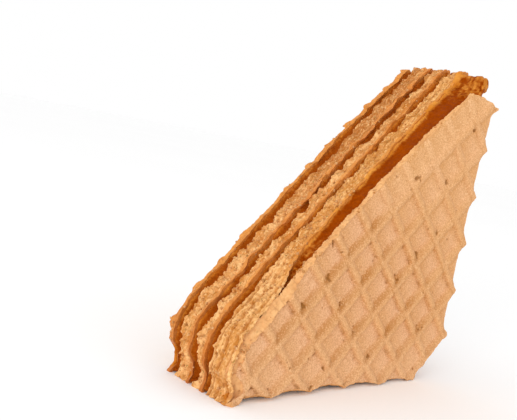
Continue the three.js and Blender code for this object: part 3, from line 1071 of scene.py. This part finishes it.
def crumb_tree():
    """Scatters lumpy grains over the torn walls of the sheets and the shredded caramel."""
    wires, given = geometry_tree(
        "Crumbs on the cut",
        {"Per mm2": CRUMBS_PER_MM2, "Radius": CRUMB_RADIUS, "Lumps": 0.16, "Seed": 0.0},
    )
    ramp = wires.ramp
    walls = wires.node("GeometryNodeJoinGeometry")
    for name in [sheet + "_baked" for sheet in SHEETS] + ["caramel_1_spread"]:
        layer = wires.node("GeometryNodeObjectInfo", {"Object": bpy.data.objects[name]})
        wires.tree.links.new(layer.outputs["Geometry"], walls.inputs[0])
    here = millimetres(wires, wires.get("GeometryNodeInputPosition"))
    across = along_cut(wires, here)
    on_cut = named(wires, "torn") > CUT_SIDES
    on_wall = named(wires, "rim") < 0.01
    on_caramel = named(wires, "caramel")
    clustered = ramp(wires.noise(here, 3.0, given["Seed"]), 0.4, 0.65)
    stuck = named(wires, "sticky") * ramp(named(wires, "through"), 0.8, 0.3)
    stuck = stuck * (clustered * ramp(across, 2.0, 12.0)) * (across < SHREDDED_HEAD[0])
    density = ramp(across, *CRUMB_DRIFT, 1.0, 0.3) * clustered * (1.0 - on_caramel)
    density = on_caramel * stuck * 0.8 + density
    scattered = wires.get(
        "GeometryNodeDistributePointsOnFaces",
        {
            "Mesh": Wire(wires, walls.outputs[0]),
            "Selection": on_cut * on_wall,
            "Density": density * (given["Per mm2"] / (MM * MM)),
            "Seed": CRUMB_SEED,
        },
    )
    smallest, largest = CRUMB_SPREAD
    sizes = wires.get("FunctionNodeRandomValue", {2: smallest, 3: largest}, 1, data_type="FLOAT")
    turn = {1: (math.tau, math.tau, math.tau)}
    grain_shape = {"Radius": given["Radius"] * MM, "Subdivisions": 1}
    placed = wires.get(
        "GeometryNodeInstanceOnPoints",
        {
            "Points": scattered,
            "Instance": wires.get("GeometryNodeMeshIcoSphere", grain_shape),
            "Rotation": wires.get("FunctionNodeRandomValue", turn, data_type="FLOAT_VECTOR"),
            "Scale": sizes * (on_caramel * 0.7 + 1.0),
        },
    )
    real = wires.get("GeometryNodeRealizeInstances", {"Geometry": placed})
    lumps = wires.get("ShaderNodeTexNoise", {"Vector": here, "Scale": 1 / LUMP_SIZE}, "Color")
    lumps = wires.vector("SUBTRACT", lumps, (0.5, 0.5, 0.5))
    moved = wires.vector("SCALE", lumps, given["Lumps"] * (MM / LUMP_SIZE))
    lumpy = wires.get("GeometryNodeSetPosition", {"Geometry": real, "Offset": moved})
    close_tree(wires, lumpy, given["Material"])
    return wires.tree


def crumb_material():
    """Dry golden crumb, some of it paler."""
    material, wires, where = new_material("Wafer crumbs")
    marks = grained(wires, where, Grain_Size=0.4, Blotch_Size=1.2)
    colour = wires.mix(marks["Blotch"], "#b87a40", "#e2b07a")
    colour = wires.mix(wires.ramp(marks["Grain"], 0.4, 0.6, 0.4, 0.0), colour, "#a46a30")
    shaded(wires, colour, roughness=0.85, specular=0.12)
    return material


crumbs = put_in_scene("crumbs", bpy.data.meshes.new("crumbs"))
run_tree(crumbs, crumb_tree(), Material=crumb_material())
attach(crumbs, "root")

# ------------------------------------------------------------
# Floor: a plain pale sheet under the block, matt and very slightly mottled. It is so wide that its
# edges are out of sight.
# ------------------------------------------------------------
FLOOR_REACH = 20.0


def floor_material():
    material, wires, where = new_material("Pale floor")
    colour = wires.mix(wires.noise(where, 0.4, 0.0, 1.0), "#ffffff", "#fcfcfc")
    shaded(wires, colour, roughness=0.9, specular=0.5)
    return material


floor_mesh = bpy.data.meshes.new("floor")
r = FLOOR_REACH
floor_mesh.from_pydata([(-r, -r, 0), (r, -r, 0), (r, r, 0), (-r, r, 0)], [], [(0, 1, 2, 3)])
floor_mesh.materials.append(floor_material())
floor = put_in_scene("floor", floor_mesh)

# ------------------------------------------------------------
# Light and camera: an even white surround, one broad soft light low on the camera's left, and the
# camera low and to the left of the face, leaning a little.
# ------------------------------------------------------------
world = bpy.data.worlds.new("Surround")
world.use_nodes = True
world.node_tree.nodes["Background"].inputs["Color"].default_value = (1, 1, 1, 1)
world.node_tree.nodes["Background"].inputs["Strength"].default_value = 1.0
bpy.context.scene.world = world
bpy.context.scene.view_settings.view_transform = "Standard"


def aim(thing, target, azimuth, elevation, distance, lean=0.0):
    """Puts a thing at a distance from its target and turns it to that. Azimuth 0 is in front of
    the face."""
    a, e = math.radians(azimuth), math.radians(elevation)
    away = Vector((math.sin(a) * math.cos(e), -math.cos(a) * math.cos(e), math.sin(e)))
    thing.location = target + away * distance
    thing.rotation_mode = "QUATERNION"
    upright = (-away).to_track_quat("-Z", "Y")
    thing.rotation_quaternion = upright @ Quaternion((0, 0, 1), math.radians(lean))


LOOK_AT = Vector((-20.6, 0.0, 30.4)) * MM
camera = put_in_scene("camera", bpy.data.cameras.new("camera"))
camera.data.lens = 53.6
camera.data.clip_start = 0.01
aim(camera, LOOK_AT, azimuth=-41.56, elevation=5.13, distance=0.135, lean=10.82)
bpy.context.scene.camera = camera

key = put_in_scene("key", bpy.data.lights.new("key", "AREA"))
key.data.shape = "DISK"
key.data.size = 0.4
key.data.energy = 2.4
middle = (cad_box[0] + cad_box[1]) / 2
aim(key, middle, azimuth=-64.0, elevation=8.0, distance=0.8)
